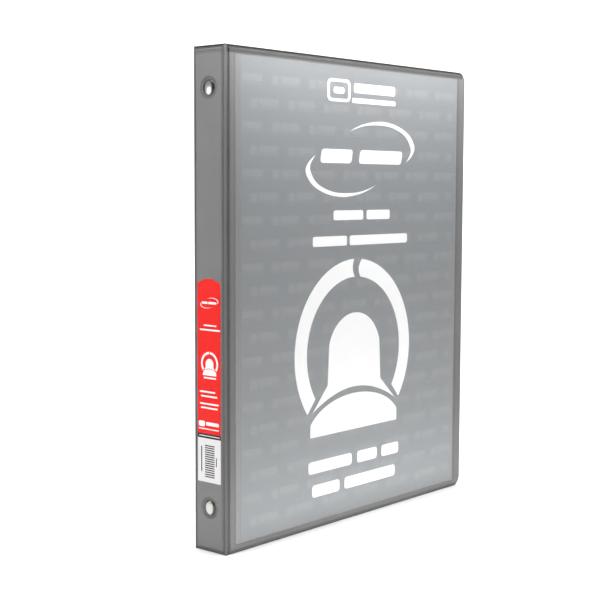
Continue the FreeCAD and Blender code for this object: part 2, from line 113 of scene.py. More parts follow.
def profile(points):
    xs = np.array([p[0] for p in points], float)
    ys = np.array([p[1] for p in points], float)
    # Catmull-Rom through the points, kept inside each step, so that edges read as rounded
    n = len(xs)
    m = np.zeros(n)
    for i in range(1, n - 1):
        d0 = (ys[i] - ys[i - 1]) / (xs[i] - xs[i - 1])
        d1 = (ys[i + 1] - ys[i]) / (xs[i + 1] - xs[i])
        m[i] = 0 if d0 * d1 <= 0 else 2 * d0 * d1 / (d0 + d1)

    def f(x):
        x = np.clip(x, xs[0], xs[-1])
        k = np.clip(np.searchsorted(xs, x, side="right") - 1, 0, n - 2)
        h = xs[k + 1] - xs[k]
        t = (x - xs[k]) / h
        return (2 * t**3 - 3 * t**2 + 1) * ys[k] + (t**3 - 2 * t**2 + t) * h * m[k] + (-2 * t**3 + 3 * t**2) * ys[k + 1] + (t**3 - t**2) * h * m[k + 1]

    return f


def noise_map(S, Z, sx, sz, seed, octaves=2):
    out = np.zeros(S.shape)
    it = np.nditer([S, Z], flags=["multi_index"])
    for s, z in it:
        v, a, fx = 0.0, 1.0, 1.0
        for _ in range(octaves):
            v += a * noise.noise(Vector((float(s) / sx * fx, float(z) / sz * fx, seed * 7.31)))
            a *= 0.5
            fx *= 2.1
        out[it.multi_index] = v
    return out


def place_front(s, z, n):
    return (XP + s, -YP - n, z)


def place_back(s, z, n):
    return (XP + s, YP + n, z)


def place_spine(s, z, n):
    return (XP - n, YP - s, z)


def make(name, verts, faces, flip=False, smooth=True, shade=None, uvs=None, mats=None):
    me = bpy.data.meshes.new(name)
    if flip:
        faces = [tuple(reversed(f)) for f in faces]
    me.from_pydata([(x / 1000, y / 1000, z / 1000) for x, y, z in verts], [], faces)
    me.update()
    for p in me.polygons:
        p.use_smooth = smooth
    if shade is not None:
        at = me.attributes.new("shade", "FLOAT", "POINT")
        at.data.foreach_set("value", np.asarray(shade, np.float32))
    if uvs is not None:
        layer = me.uv_layers.new(name="UVMap")
        uv = np.asarray(uvs, np.float32)
        idx = np.zeros(len(me.loops), np.int32)
        me.loops.foreach_get("vertex_index", idx)
        layer.data.foreach_set("uv", uv[idx].ravel())
    if mats is not None:
        me.polygons.foreach_set("material_index", np.asarray(mats, np.int32))
    me.validate()
    o = bpy.data.objects.new(name, me)
    bpy.context.scene.collection.objects.link(o)
    return o


def signed_volume(verts, faces):
    v = np.asarray(verts, float)
    t = 0.0
    for f in faces:
        a = v[f[0]]
        for i in range(1, len(f) - 1):
            t += a @ np.cross(v[f[i]], v[f[i + 1]])
    return t


def shell(name, s0, s1, z0, z1, ss, zz, top, bottom, place, sign=1, corners=(), shade=None, warp=None, band=None):
    """A closed sheet over a rectangle in (s, z): top(S, Z, D) is its outer face and bottom its inner one, both measured along n.
    corners are (s, z, radius, ds, dz); D is the distance to the outline."""
    S, Z = np.meshgrid(s0 + ss, z0 + zz, indexing="ij")
    D = np.minimum(np.minimum(S - s0, s1 - S), np.minimum(Z - z0, z1 - Z))
    for cs, cz, r, ds, dz in corners:
        a, b = (S - cs) * ds / r, (Z - cz) * dz / r
        inside = (a > 1e-9) & (b > 1e-9)
        rho, length = np.maximum(a, b), np.sqrt(a * a + b * b) + 1e-12
        S = np.where(inside, cs + ds * r * rho * a / length, S)
        Z = np.where(inside, cz + dz * r * rho * b / length, Z)
        D = np.where(inside, np.minimum(D, r * (1 - rho)), D)
    D = np.maximum(D, 0)
    if warp is not None:
        S, Z = warp(S, Z)
    T = top(S, Z, D)
    B = bottom(S, Z, D) if callable(bottom) else np.full(S.shape, float(bottom))
    n, m = S.shape
    verts = [place(S[i, j], Z[i, j], sign * T[i, j]) for i in range(n) for j in range(m)]
    verts += [place(S[i, j], Z[i, j], sign * B[i, j]) for i in range(n) for j in range(m)]
    k = n * m
    faces = []
    for i in range(n - 1):
        for j in range(m - 1):
            a, b, c, d = i * m + j, (i + 1) * m + j, (i + 1) * m + j + 1, i * m + j + 1
            faces.append((a, b, c, d))
            faces.append((k + d, k + c, k + b, k + a))
    loop = [i * m for i in range(n)] + [(n - 1) * m + j for j in range(1, m)] + [i * m + m - 1 for i in range(n - 2, -1, -1)] + [j for j in range(m - 2, 0, -1)]
    for p, q in zip(loop, loop[1:] + loop[:1]):
        faces.append((p, k + p, k + q, q))
    sh = shade(S, Z, D) if shade is not None else np.ones(S.shape)
    sh = np.concatenate([sh.ravel(), sh.ravel()])
    uv = np.stack([S.ravel() / 300, Z.ravel() / 300], 1)
    uv = np.concatenate([uv, uv])
    mats = None
    if band is not None:
        flag = band(S, Z, D).astype(int)
        mats = []
        for i in range(n - 1):
            for j in range(m - 1):
                v = int(flag[i, j] and flag[i + 1, j] and flag[i, j + 1] and flag[i + 1, j + 1])
                mats += [v, v]
        mats += [1] * len(loop)
    return make(name, verts, faces, flip=signed_volume(verts, faces) < 0, shade=sh, uvs=uv, mats=mats)


def prism(name_list, polys, n0, n1, place, lift=None):
    """Adds flat closed prisms (outline, or outline with quads) to a list of (verts, faces)."""
    for poly in polys:
        base = len(name_list[0])
        k = len(poly)
        for s, z in poly:
            w = lift(s, z) if lift else 0
            name_list[0].append(place(s, z, n1 + w))
        for s, z in poly:
            w = lift(s, z) if lift else 0
            name_list[0].append(place(s, z, n0 + w))
        faces = [tuple(range(base, base + k)), tuple(reversed(range(base + k, base + 2 * k)))]
        for i in range(k):
            j = (i + 1) % k
            faces.append((base + i, base + k + i, base + k + j, base + j))
        sub = name_list[0][base:]
        local = [tuple(v - base for v in f) for f in faces]
        if signed_volume(sub, local) < 0:
            faces = [tuple(reversed(f)) for f in faces]
        name_list[1].extend(faces)


def rbar(s0, s1, z0, z1, r, k=5):
    """A bar with rounded ends or corners, as one outline."""
    r = min(r, (s1 - s0) / 2, (z1 - z0) / 2)
    pts = []
    for cs, cz, a0 in ((s1 - r, z0 + r, -90), (s1 - r, z1 - r, 0), (s0 + r, z1 - r, 90), (s0 + r, z0 + r, 180)):
        for i in range(k + 1):
            a = math.radians(a0 + 90 * i / k)
            pts.append((cs + r * math.cos(a), cz + r * math.sin(a)))
    return pts


def band_polys(cs, cz, rx0, rz0, rx1, rz1, a0, a1, k):
    """Quads of an elliptical band from angle a0 to a1; the two ends may have different widths."""
    out = []
    for i in range(k):
        t0, t1 = a0 + (a1 - a0) * i / k, a0 + (a1 - a0) * (i + 1) / k
        c0, s0_, c1, s1_ = math.cos(math.radians(t0)), math.sin(math.radians(t0)), math.cos(math.radians(t1)), math.sin(math.radians(t1))
        out.append([(cs + rx0 * c0, cz + rz0 * s0_), (cs + rx1 * c0, cz + rz1 * s0_), (cs + rx1 * c1, cz + rz1 * s1_), (cs + rx0 * c1, cz + rz0 * s1_)])
    return out


def strip(name_list, left, right, n0, n1, place, lift=None):
    """A closed flat strip between two lines of points with the same count."""
    base = len(name_list[0])
    k = len(left)
    for n in (n1, n0):
        for line in (left, right):
            for s, z in line:
                name_list[0].append(place(s, z, n + (lift(s, z) if lift else 0)))
    L1, R1, L0, R0 = base, base + k, base + 2 * k, base + 3 * k
    faces = []
    for i in range(k - 1):
        faces.append((L1 + i, R1 + i, R1 + i + 1, L1 + i + 1))
        faces.append((L0 + i + 1, R0 + i + 1, R0 + i, L0 + i))
        faces.append((L1 + i + 1, L0 + i + 1, L0 + i, L1 + i))
        faces.append((R1 + i, R0 + i, R0 + i + 1, R1 + i + 1))
    faces.append((L1, L0, R0, R1))
    faces.append((L1 + k - 1, R1 + k - 1, R0 + k - 1, L0 + k - 1))
    sub = name_list[0][base:]
    local = [tuple(v - base for v in f) for f in faces]
    if signed_volume(sub, local) < 0:
        faces = [tuple(reversed(f)) for f in faces]
    name_list[1].extend(faces)


# ------------------------------------------------------------------ materials
def material(name):
    m = bpy.data.materials.new(name)
    m.use_nodes = True
    nt = m.node_tree
    nt.nodes.clear()
    out = nt.nodes.new("ShaderNodeOutputMaterial")
    b = nt.nodes.new("ShaderNodeBsdfPrincipled")
    nt.links.new(b.outputs[0], out.inputs[0])
    return m, nt, b


def node(nt, kind, **inputs):
    n = nt.nodes.new(kind)
    for k, v in inputs.items():
        n.inputs[k].default_value = v
    return n


def ramp(nt, source, stops):
    r = nt.nodes.new("ShaderNodeValToRGB")
    e = r.color_ramp.elements
    e[0].position, e[0].color = stops[0]
    e[1].position, e[1].color = stops[-1]
    for p, c in stops[1:-1]:
        x = e.new(p)
        x.color = c
    nt.links.new(source, r.inputs[0])
    return r


def grey(v, t=(1, 1, 1)):
    return (v * t[0], v * t[1], v * t[2], 1)


def coords(nt, use_uv):
    tc = nt.nodes.new("ShaderNodeTexCoord")
    mp = nt.nodes.new("ShaderNodeMapping")
    nt.links.new(tc.outputs["UV" if use_uv else "Object"], mp.inputs[0])
    k = 0.3 if use_uv else 1.0          # UV is millimetres over 300, so metres over 0.3
    mp.inputs["Scale"].default_value = (k, k, k)
    return mp


def vinyl(name, base, rough=(0.42, 0.56), grain=0.35, use_uv=False, dark=0.12):
    m, nt, b = material(name)
    mp = coords(nt, use_uv)
    # slow tone changes, as of calendered sheet
    n1 = node(nt, "ShaderNodeTexNoise", Scale=22.0, Detail=3.0, Roughness=0.55)
    nt.links.new(mp.outputs[0], n1.inputs["Vector"])
    tone = ramp(nt, n1.outputs["Fac"], [(0.3, grey(base * 0.94)), (0.7, grey(base * 1.05))])
    # fine flecks
    n2 = node(nt, "ShaderNodeTexNoise", Scale=900.0, Detail=2.0)
    nt.links.new(mp.outputs[0], n2.inputs["Vector"])
    fleck = ramp(nt, n2.outputs["Fac"], [(0.35, (0.93, 0.93, 0.93, 1)), (0.65, (1.04, 1.04, 1.04, 1))])
    mix = nt.nodes.new("ShaderNodeMix")
    mix.data_type = "RGBA"
    mix.blend_type = "MULTIPLY"
    mix.inputs[0].default_value = 1.0
    nt.links.new(tone.outputs[0], mix.inputs[6])
    nt.links.new(fleck.outputs[0], mix.inputs[7])
    # painted shade, read from the mesh: dark lines along rims, pressed grooves and rivet seats
    at = nt.nodes.new("ShaderNodeAttribute")
    at.attribute_name = "shade"
    wear_and_painted_shade = ramp(nt, at.outputs["Fac"], [(0.0, grey(dark)), (1.0, (1, 1, 1, 1))])
    mix2 = nt.nodes.new("ShaderNodeMix")
    mix2.data_type = "RGBA"
    mix2.blend_type = "MULTIPLY"
    mix2.inputs[0].default_value = 1.0
    nt.links.new(mix.outputs[2], mix2.inputs[6])
    nt.links.new(wear_and_painted_shade.outputs[0], mix2.inputs[7])
    nt.links.new(mix2.outputs[2], b.inputs["Base Color"])
    # leather grain
    v = node(nt, "ShaderNodeTexVoronoi", Scale=1500.0)
    v.feature = "SMOOTH_F1"
    nt.links.new(mp.outputs[0], v.inputs["Vector"])
    bump = node(nt, "ShaderNodeBump", Strength=grain, Distance=0.00004)
    nt.links.new(v.outputs["Distance"], bump.inputs["Height"])
    nt.links.new(bump.outputs[0], b.inputs["Normal"])
    n3 = node(nt, "ShaderNodeTexNoise", Scale=140.0, Detail=4.0, Roughness=0.6)
    nt.links.new(mp.outputs[0], n3.inputs["Vector"])
    rr = node(nt, "ShaderNodeMapRange")
    rr.inputs["From Min"].default_value, rr.inputs["From Max"].default_value = 0.3, 0.7
    rr.inputs["To Min"].default_value, rr.inputs["To Max"].default_value = rough
    nt.links.new(n3.outputs["Fac"], rr.inputs["Value"])
    # the places with painted shade, pressed grooves among them, are also rougher, so they reflect less
    dull = ramp(nt, at.outputs["Fac"], [(0.0, grey(0.45)), (0.7, grey(0.0))])
    add = nt.nodes.new("ShaderNodeMath")
    add.operation = "ADD"
    add.use_clamp = True
    nt.links.new(rr.outputs["Result"], add.inputs[0])
    nt.links.new(dull.outputs[0], add.inputs[1])
    nt.links.new(add.outputs[0], b.inputs["Roughness"])
    b.inputs["IOR"].default_value = 1.5
    return m


def film(name, alpha, tone, rough=(0.16, 0.20), ripple=0.03):
    m, nt, b = material(name)
    mp = coords(nt, False)
    n1 = node(nt, "ShaderNodeTexNoise", Scale=35.0, Detail=2.0)
    nt.links.new(mp.outputs[0], n1.inputs["Vector"])
    c = ramp(nt, n1.outputs["Fac"], [(0.35, grey(tone * 0.97, (1.0, 1.0, 1.01))), (0.65, grey(tone, (1.0, 1.0, 1.0)))])
    nt.links.new(c.outputs[0], b.inputs["Base Color"])
    n3 = node(nt, "ShaderNodeTexNoise", Scale=40.0, Detail=1.0, Roughness=0.5)
    nt.links.new(mp.outputs[0], n3.inputs["Vector"])
    rr = node(nt, "ShaderNodeMapRange")
    rr.inputs["From Min"].default_value, rr.inputs["From Max"].default_value = 0.3, 0.7
    rr.inputs["To Min"].default_value, rr.inputs["To Max"].default_value = rough
    nt.links.new(n3.outputs["Fac"], rr.inputs["Value"])
    nt.links.new(rr.outputs["Result"], b.inputs["Roughness"])
    n4 = node(nt, "ShaderNodeTexNoise", Scale=60.0, Detail=2.0)
    nt.links.new(mp.outputs[0], n4.inputs["Vector"])
    bump = node(nt, "ShaderNodeBump", Strength=ripple, Distance=0.0002)
    nt.links.new(n4.outputs["Fac"], bump.inputs["Height"])
    nt.links.new(bump.outputs[0], b.inputs["Normal"])
    b.inputs["Alpha"].default_value = alpha
    b.inputs["IOR"].default_value = 1.5
    b.inputs["Metallic"].default_value = 0.35
    return m


def printed(name, colour, rough=(0.5, 0.62), vary=0.04):
    m, nt, b = material(name)
    mp = coords(nt, False)
    n1 = node(nt, "ShaderNodeTexNoise", Scale=420.0, Detail=4.0, Roughness=0.65)
    nt.links.new(mp.outputs[0], n1.inputs["Vector"])
    lo = tuple(c * (1 - vary) for c in colour[:3]) + (1,)
    hi = tuple(min(1, c * (1 + vary)) for c in colour[:3]) + (1,)
    c = ramp(nt, n1.outputs["Fac"], [(0.35, lo), (0.65, hi)])
    nt.links.new(c.outputs[0], b.inputs["Base Color"])
    n3 = node(nt, "ShaderNodeTexNoise", Scale=2600.0, Detail=3.0)
    nt.links.new(mp.outputs[0], n3.inputs["Vector"])
    bump = node(nt, "ShaderNodeBump", Strength=0.04, Distance=0.00001)
    nt.links.new(n3.outputs["Fac"], bump.inputs["Height"])
    nt.links.new(bump.outputs[0], b.inputs["Normal"])
    rr = node(nt, "ShaderNodeMapRange")
    rr.inputs["From Min"].default_value, rr.inputs["From Max"].default_value = 0.3, 0.7
    rr.inputs["To Min"].default_value, rr.inputs["To Max"].default_value = rough
    nt.links.new(n1.outputs["Fac"], rr.inputs["Value"])
    nt.links.new(rr.outputs["Result"], b.inputs["Roughness"])
    return m


def metal(name, colour, rough, brushed=(1, 1, 1), bump_s=0.08, wear_and_painted_shade=0.06):
    m, nt, b = material(name)
    tc = nt.nodes.new("ShaderNodeTexCoord")
    mp = nt.nodes.new("ShaderNodeMapping")
    mp.inputs["Scale"].default_value = brushed
    nt.links.new(tc.outputs["Object"], mp.inputs[0])
    n1 = node(nt, "ShaderNodeTexNoise", Scale=700.0, Detail=4.0, Roughness=0.6)
    nt.links.new(mp.outputs[0], n1.inputs["Vector"])
    n0 = node(nt, "ShaderNodeTexNoise", Scale=90.0, Detail=3.0)
    nt.links.new(tc.outputs["Object"], n0.inputs["Vector"])
    lo = tuple(c * (1 - wear_and_painted_shade) for c in colour) + (1,)
    hi = tuple(min(1, c * (1 + wear_and_painted_shade * 0.5)) for c in colour) + (1,)
    c = ramp(nt, n0.outputs["Fac"], [(0.35, lo), (0.65, hi)])
    nt.links.new(c.outputs[0], b.inputs["Base Color"])
    rr = node(nt, "ShaderNodeMapRange")
    rr.inputs["From Min"].default_value, rr.inputs["From Max"].default_value = 0.3, 0.7
    rr.inputs["To Min"].default_value, rr.inputs["To Max"].default_value = rough
    nt.links.new(n1.outputs["Fac"], rr.inputs["Value"])
    nt.links.new(rr.outputs["Result"], b.inputs["Roughness"])
    bump = node(nt, "ShaderNodeBump", Strength=bump_s, Distance=0.00002)
    nt.links.new(n1.outputs["Fac"], bump.inputs["Height"])
    nt.links.new(bump.outputs[0], b.inputs["Normal"])
    b.inputs["Metallic"].default_value = 1.0
    return m


M_VINYL = vinyl("grey_vinyl", 0.165)
M_VINYL_UV = vinyl("grey_vinyl_hinge", 0.165, use_uv=True)
M_INNER = vinyl("grey_vinyl_inside", 0.155, rough=(0.5, 0.62), grain=0.5)
M_POCKET = vinyl("pocket_vinyl", 0.18, rough=(0.36, 0.48), grain=0.2)
M_FILM = film("clear_film", 0.085, 0.93)
M_WELD = film("clear_film_weld", 0.045, 0.75, rough=(0.2, 0.3), ripple=0.12)
M_SFILM = film("clear_film_spine", 0.01, 0.9)
M_SHEET = printed("printed_sheet", (0.168, 0.182, 0.193), vary=0.015)
M_FAINT = printed("printed_faint", (0.200, 0.215, 0.225), vary=0.015)
M_WHITE = printed("white_print", (0.97, 0.97, 0.97), vary=0.015)
M_RED = printed("red_card", (0.84, 0.004, 0.001), vary=0.03)
M_CARD = printed("white_card", (0.76, 0.76, 0.765), vary=0.015)
M_BLACK = printed("black_print", (0.012, 0.012, 0.013), vary=0.1)
M_BOARD = printed("chipboard", (0.36, 0.29, 0.21), rough=(0.8, 0.95), vary=0.2)
M_NICKEL = metal("nickel", (0.60, 0.585, 0.555), (0.16, 0.28))
M_RIVET = metal("nickel_rivet", (0.74, 0.73, 0.70), (0.16, 0.26))
_nt = M_RIVET.node_tree
_b = _nt.nodes["Principled BSDF"]
_old = _b.inputs["Base Color"].links[0].from_socket
_at = _nt.nodes.new("ShaderNodeAttribute")
_at.attribute_name = "shade"
_rr = ramp(_nt, _at.outputs["Fac"], [(0.0, grey(0.10)), (1.0, (1, 1, 1, 1))])
_mx = _nt.nodes.new("ShaderNodeMix")
_mx.data_type = "RGBA"
_mx.blend_type = "MULTIPLY"
_mx.inputs[0].default_value = 1.0
_nt.links.new(_old, _mx.inputs[6])
_nt.links.new(_rr.outputs[0], _mx.inputs[7])
_nt.links.new(_mx.outputs[2], _b.inputs["Base Color"])
M_STEEL = metal("rolled_steel", (0.46, 0.455, 0.44), (0.28, 0.42), brushed=(1, 1, 0.04), bump_s=0.15)


for _m in (M_RED, M_BLACK):
    _m.node_tree.nodes["Principled BSDF"].inputs["Specular IOR Level"].default_value = 0.15


def dress(o, *mats):
    o.data.materials.clear()
    for m in mats:
        o.data.materials.append(m)
    return o


# ------------------------------------------------------------------ vinyl panels
EDGE = [0, 0.06, 0.14, 0.26, 0.42, 0.62, 0.85, 1.05, 1.2, 1.34, 1.48, 1.62, 1.76, 1.9, 2.05, 2.2, 2.38, 2.6, 2.85, 3.15, 3.6, 4.2, 5.0, 5.9, 7.0]
rim = profile([(0, 0.06), (0.06, 0.17), (0.14, 0.235), (0.26, 0.275), (0.5, 0.29), (0.85, 0.285), (1.1, 0.25), (1.34, 0.17), (1.55, 0.17), (1.7, 0.26), (1.82, 0.50), (1.95, 0.78), (2.1, 0.96), (2.3, 1.07), (2.6, 1.14), (3.1, 1.18), (4.0, 1.20), (6.0, 1.20)])
web = profile([(0.9, 0.25), (1.2, 0.25), (1.6, 0.21), (1.95, 0.21), (2.2, 0.32), (2.35, 0.58), (2.5, 0.84), (2.7, 1.01), (3.0, 1.11), (3.5, 1.17), (4.4, 1.20), (6.0, 1.20)])
spine_web = profile([(0.9, 0.25), (1.0, 0.25), (1.12, 0.22), (1.24, 0.22), (1.38, 0.34), (1.5, 0.58), (1.63, 0.84), (1.8, 1.01), (2.05, 1.11), (2.5, 1.17), (3.4, 1.20), (6.0, 1.20)])
WEB = [0.0, 0.12, 0.24, 0.36, 0.5, 0.63, 0.77, 0.9, 1.02, 1.14, 1.25, 1.36, 1.47, 1.6, 1.8, 2.1, 2.5, 3.1, 3.9, 4.9, 6.0]
WEB0 = 1.0


def wave(S, Z):
    """Slow unevenness of a whole panel, shared by every layer of it."""
    S, Z = np.asarray(S, float), np.asarray(Z, float)
    return 0.018 * np.sin(S / 31.0 + 0.6 * np.sin(Z / 47.0)) * np.cos(Z / 39.0 + 0.4 * np.sin(S / 23.0))


def inner_fade(D, far=9.0):
    t = np.clip((D - 3.0) / (far - 3.0), 0, 1)
    return t * t * (3 - 2 * t)


def groove(D, at, half, deep):
    t = np.clip(1 - np.abs(D - at) / half, 0, 1)
    return deep * t * t * (3 - 2 * t)


def cover_top(ov, seed):
    def top(S, Z, D):
        DD = np.minimum(D, 6.0)
        # the hinge side has its own section
        side_d = np.minimum(np.minimum(W - S, Z), H - Z)
        n = np.where(D < side_d - 1e-6, 6.0, DD)
        n = np.minimum(rim(np.minimum(np.where(D < S - WEB0, D, np.minimum(side_d, D + 99)), 6.0)), web(np.minimum(S, 6.0)))
        n = n + wave(S, Z) * inner_fade(np.minimum(D, S - WEB0 + 2.0))
        if ov is not None:
            # the weld's pressed line
            d_ov = np.minimum(np.minimum(S - ov[0], ov[1] - S), Z - ov[2])
            n = n - groove(d_ov, 0.65, 0.8, 0.05) * (Z < ov[3])
        return n

    return top


DARK = 0.12


def band_of(x, a, b, soft):
    """1 between a and b, with soft sides."""
    def up(v):
        v = np.clip(v, 0, 1)
        return v * v * (3 - 2 * v)
    return up((x - a + soft) / (2 * soft)) * up((b + soft - x) / (2 * soft))


def as_shade(f):
    return np.clip((f - DARK) / (1 - DARK), 0, 1)


def cover_shade(ov):
    def f(S, Z, D):
        edge = D < S - WEB0 - 0.01
        rimd = np.where(edge, D, np.minimum(np.minimum(W - S, Z), H - Z))
        k = np.ones(S.shape)
        near_top = H - Z < np.minimum(Z, W - S)
        near_side = (W - S <= np.minimum(Z, H - Z))
        k *= 1 - np.where(near_top, 0.88, 0.76) * band_of(rimd, -1, np.where(near_top, 1.15, 0.6), 0.2)
        k *= 1 - 0.50 * band_of(rimd, 1.2, 1.8, 0.22)
        k *= 1 - (np.where(near_top, 0.60, np.where(near_side, 0.04, 0.06))) * band_of(rimd, 1.7, np.where(near_side, 9.6, 4.4), 0.4)
        k *= 1 - 0.40 * band_of(S, 1.2, 2.5, 0.3)
        if ov is not None:
            d_ov = np.minimum(np.minimum(S - ov[0], ov[1] - S), Z - ov[2])
            k *= 1 - 0.30 * band_of(d_ov, -0.25, 0.15, 0.2) * (Z < ov[3] + 0.4)
        return as_shade(k)

    return f


def cover_grid(ov):
    ss = spaced(W - WEB0, WEB, EDGE, 4.0, [] if ov is None else [(ov[0] + 0.65 - WEB0, 0.8, 0.2), (ov[1] - 0.65 - WEB0, 0.8, 0.2)])
    zz = spaced(H, EDGE, EDGE, 4.0, [] if ov is None else [(ov[2] + 0.65, 0.8, 0.2)])
    return ss, zz


corners = [(W - CORNER, CORNER, CORNER, 1, -1), (W - CORNER, H - CORNER, CORNER, 1, 1)]
for side, place in (("front", place_front), ("back", place_back)):
    ss, zz = cover_grid(OV)
    o = shell(f"{side}_cover_outer_skin", WEB0, W, 0, H, ss, zz, cover_top(OV, 1), 0.0, place, 1, corners, cover_shade(OV))
    dress(o, M_VINYL)
    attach(o, f"{side}_cover"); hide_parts(f"{side}_outer_vinyl")
    ss, zz = cover_grid(POC)
    o = shell(f"{side}_cover_inner_skin", WEB0, W, 0, H, ss, zz, cover_top(None, 2), 0.0, place, -1, corners, cover_shade(None))
    dress(o, M_INNER)
    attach(o, f"{side}_cover"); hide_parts(f"{side}_inner_vinyl")


def dimples(S, Z):
    """Sunk seats round the rivets: 0 away from them, -DIP at the bottom."""
    f = profile([(0, -1.0), (5.1, -1.0), (5.4, -0.95), (5.75, -0.72), (6.15, -0.36), (6.6, -0.12), (7.1, -0.03), (7.8, 0.0), (99, 0.0)])
    out = np.zeros(np.shape(S))
    for _, rs, rz, _r in RIVETS:
        r = np.hypot(S - rs, (Z - rz))
        out = np.minimum(out, f(np.minimum(r, 50)))
    return out * DIP


def spine_top(S, Z, D):
    dz = np.minimum(Z, H - Z)
    n = np.minimum(rim(np.minimum(dz, 6.0)), np.minimum(spine_web(np.minimum(S, 6.0)), spine_web(np.minimum(SPW - S, 6.0))))
    n = n + 0.6 * wave(S * 1.5, Z) * inner_fade(np.minimum(np.minimum(S, SPW - S) * 1.5, dz), 9)
    return n


def spine_outer_top(S, Z, D):
    return spine_top(S, Z, D) + dimples(S, Z)


def spine_shade(S, Z, D):
    dz = np.minimum(Z, H - Z)
    k = np.ones(S.shape)
    k *= 1 - np.where(H - Z < Z, 0.88, 0.76) * band_of(dz, -1, np.where(H - Z < Z, 1.05, 0.6), 0.2)
    k *= 1 - 0.50 * band_of(dz, 1.2, 1.8, 0.22)
    k *= 1 - np.where(H - Z < Z, 0.26, 0.06) * band_of(dz, 1.7, 4.6, 0.5)
    e = np.minimum(S, SPW - S)
    k *= 1 - 0.40 * band_of(e, 1.02, 1.25, 0.15)
    for _, rs, rz, _r in RIVETS:
        rr = np.hypot(S - rs, Z - rz)
        k *= 1 - 0.52 * band_of(rr, 5.5, 6.3, 0.4)
        k *= 1 - 0.20 * band_of(rr, -1, 5.5, 0.3)
        k *= 1 - 0.5 * band_of(rr, -1, 4.75, 0.2)
    return as_shade(k)


rivet_rows = [(rz, 9.0, 0.45) for _, _, rz, _r in RIVETS]
ss = spaced(SPW - 2 * WEB0, WEB, WEB, 0.45)
zz = spaced(H, EDGE, EDGE, 4.0, rivet_rows)
o = shell("spine_outer_skin", WEB0, SPW - WEB0, 0, H, ss, zz, spine_outer_top, 0.0, place_spine, 1, (), spine_shade)
dress(o, M_VINYL)
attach(o, "spine"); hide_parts("spine_outer_vinyl")
o = shell("spine_inner_skin", WEB0, SPW - WEB0, 0, H, spaced(SPW - 2 * WEB0, WEB, WEB, 1.2), spaced(H, EDGE, EDGE, 4.0), lambda S, Z, D: np.minimum(spine_top(S, Z, D), NV), 0.0, place_spine, -1, (), lambda S, Z, D: as_shade(1 - 0.7 * band_of(np.minimum(Z, H - Z), -1, 0.42, 0.2)))
dress(o, M_INNER)
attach(o, "spine"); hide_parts("spine_inner_vinyl")


# ------------------------------------------------------------------ living hinges
def hinge(side):
    """The vinyl between the spine and a cover: a rolled ridge between two pressed grooves."""
    r = 0.62
    end = WEB0 + 0.05
    outer = [(end, -0.262), (0.92, -0.24), (0.84, -0.19), (0.76, -0.13), (0.69, -0.12)]
    outer += [(r * math.cos(math.radians(a)), -r * math.sin(math.radians(a))) for a in np.linspace(20, 250, 24)]
    outer += [(-0.12, 0.69), (-0.13, 0.76), (-0.19, 0.84), (-0.24, 0.92), (-0.262, end)]
    inner = [(0.262, end), (0.24, 0.92), (0.19, 0.84), (0.15, 0.76), (0.14, 0.69)]
    inner += [(r * math.cos(math.radians(a)), r * math.sin(math.radians(a))) for a in np.linspace(70, 20, 10)]
    inner += [(0.69, 0.14), (0.76, 0.15), (0.84, 0.19), (0.92, 0.24), (end, 0.262)]
    ring = outer + inner
    zs = spaced(H, [0, 0.08, 0.2, 0.5, 0.75], [0, 0.08, 0.2, 0.5, 0.75], 5.0)
    d = -1 if side == "front" else 1
    verts, uv, shade = [], [], []
    length = np.cumsum([0] + [math.dist(ring[i], ring[i + 1]) for i in range(len(ring) - 1)])
    for z in zs:
        e = min(z, H - z)
        shrink = 1 - 0.25 * max(0, 1 - e / 0.2) ** 2
        for k, (a, b) in enumerate(ring):
            wob = 0.02 * math.sin(z / 9.0 + k * 0.3) if k < len(outer) and math.hypot(a, b) < 0.7 else 0
            a2, b2 = a * (1 + wob), b * (1 + wob)
            if math.hypot(a, b) < 0.7:
                a2, b2 = a2 * shrink, b2 * shrink
            verts.append((XP + a2, d * (YP - b2), z))
            uv.append((length[k] / 300, z / 300))
            rad = math.hypot(a, b)
            keep = 0.92 if rad < 0.65 else 1 - 0.8 * max(0.0, 1 - abs(rad - 0.78) / 0.2)
            if e < 0.55:
                keep *= 0.30
            shade.append(float(as_shade(keep)))
    n, m = len(zs), len(ring)
    faces = []
    for i in range(n - 1):
        for k in range(m):
            q = (k + 1) % m
            faces.append((i * m + k, i * m + q, (i + 1) * m + q, (i + 1) * m + k))
    faces.append(tuple(reversed(range(m))))
    faces.append(tuple((n - 1) * m + k for k in range(m)))
    o = make(f"{side}_hinge_strip", verts, faces, flip=signed_volume(verts, faces) < 0, shade=shade, uvs=uv)
    dress(o, M_VINYL_UV)
    q = 0.8
    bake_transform(o)
    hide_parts(f"{side}_hinge_vinyl")
    return o


hinge("front")
hinge("back")

# ------------------------------------------------------------------ printed sheet, label, clear overlays, pockets
PAPER0, PAPER1 = NV + 0.012, NV + 0.100
INK0, INK1 = PAPER1 + 0.014, PAPER1 + 0.034
FILM0, FILM1 = NV + 0.165, NV + 0.29


def cover_lift(s, z):
    return float(wave(s, z) * inner_fade(np.minimum(np.minimum(np.minimum(s - WEB0, W - s), z), H - z)))


def cover_lift_map(S, Z):
    return wave(S, Z) * inner_fade(np.minimum(np.minimum(np.minimum(S - WEB0, W - S), Z), H - Z))


s0, s1, z0, z1 = INS
PE = [0, 0.1, 0.5]
o = shell("front_insert_paper", s0, s1, z0, z1, spaced(s1 - s0, PE, PE, 4.5), spaced(z1 - z0, PE, PE, 4.5), lambda S, Z, D: PAPER1 + cover_lift_map(S, Z), lambda S, Z, D: PAPER0 + cover_lift_map(S, Z), place_front)
dress(o, M_SHEET)
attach(o, "front_cover"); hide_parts("front_insert_sheet")

FE = [0, 0.08, 0.2, 0.4, 0.65, 0.9, 1.1, 1.3, 1.5, 1.75, 2.05, 2.4, 2.9]


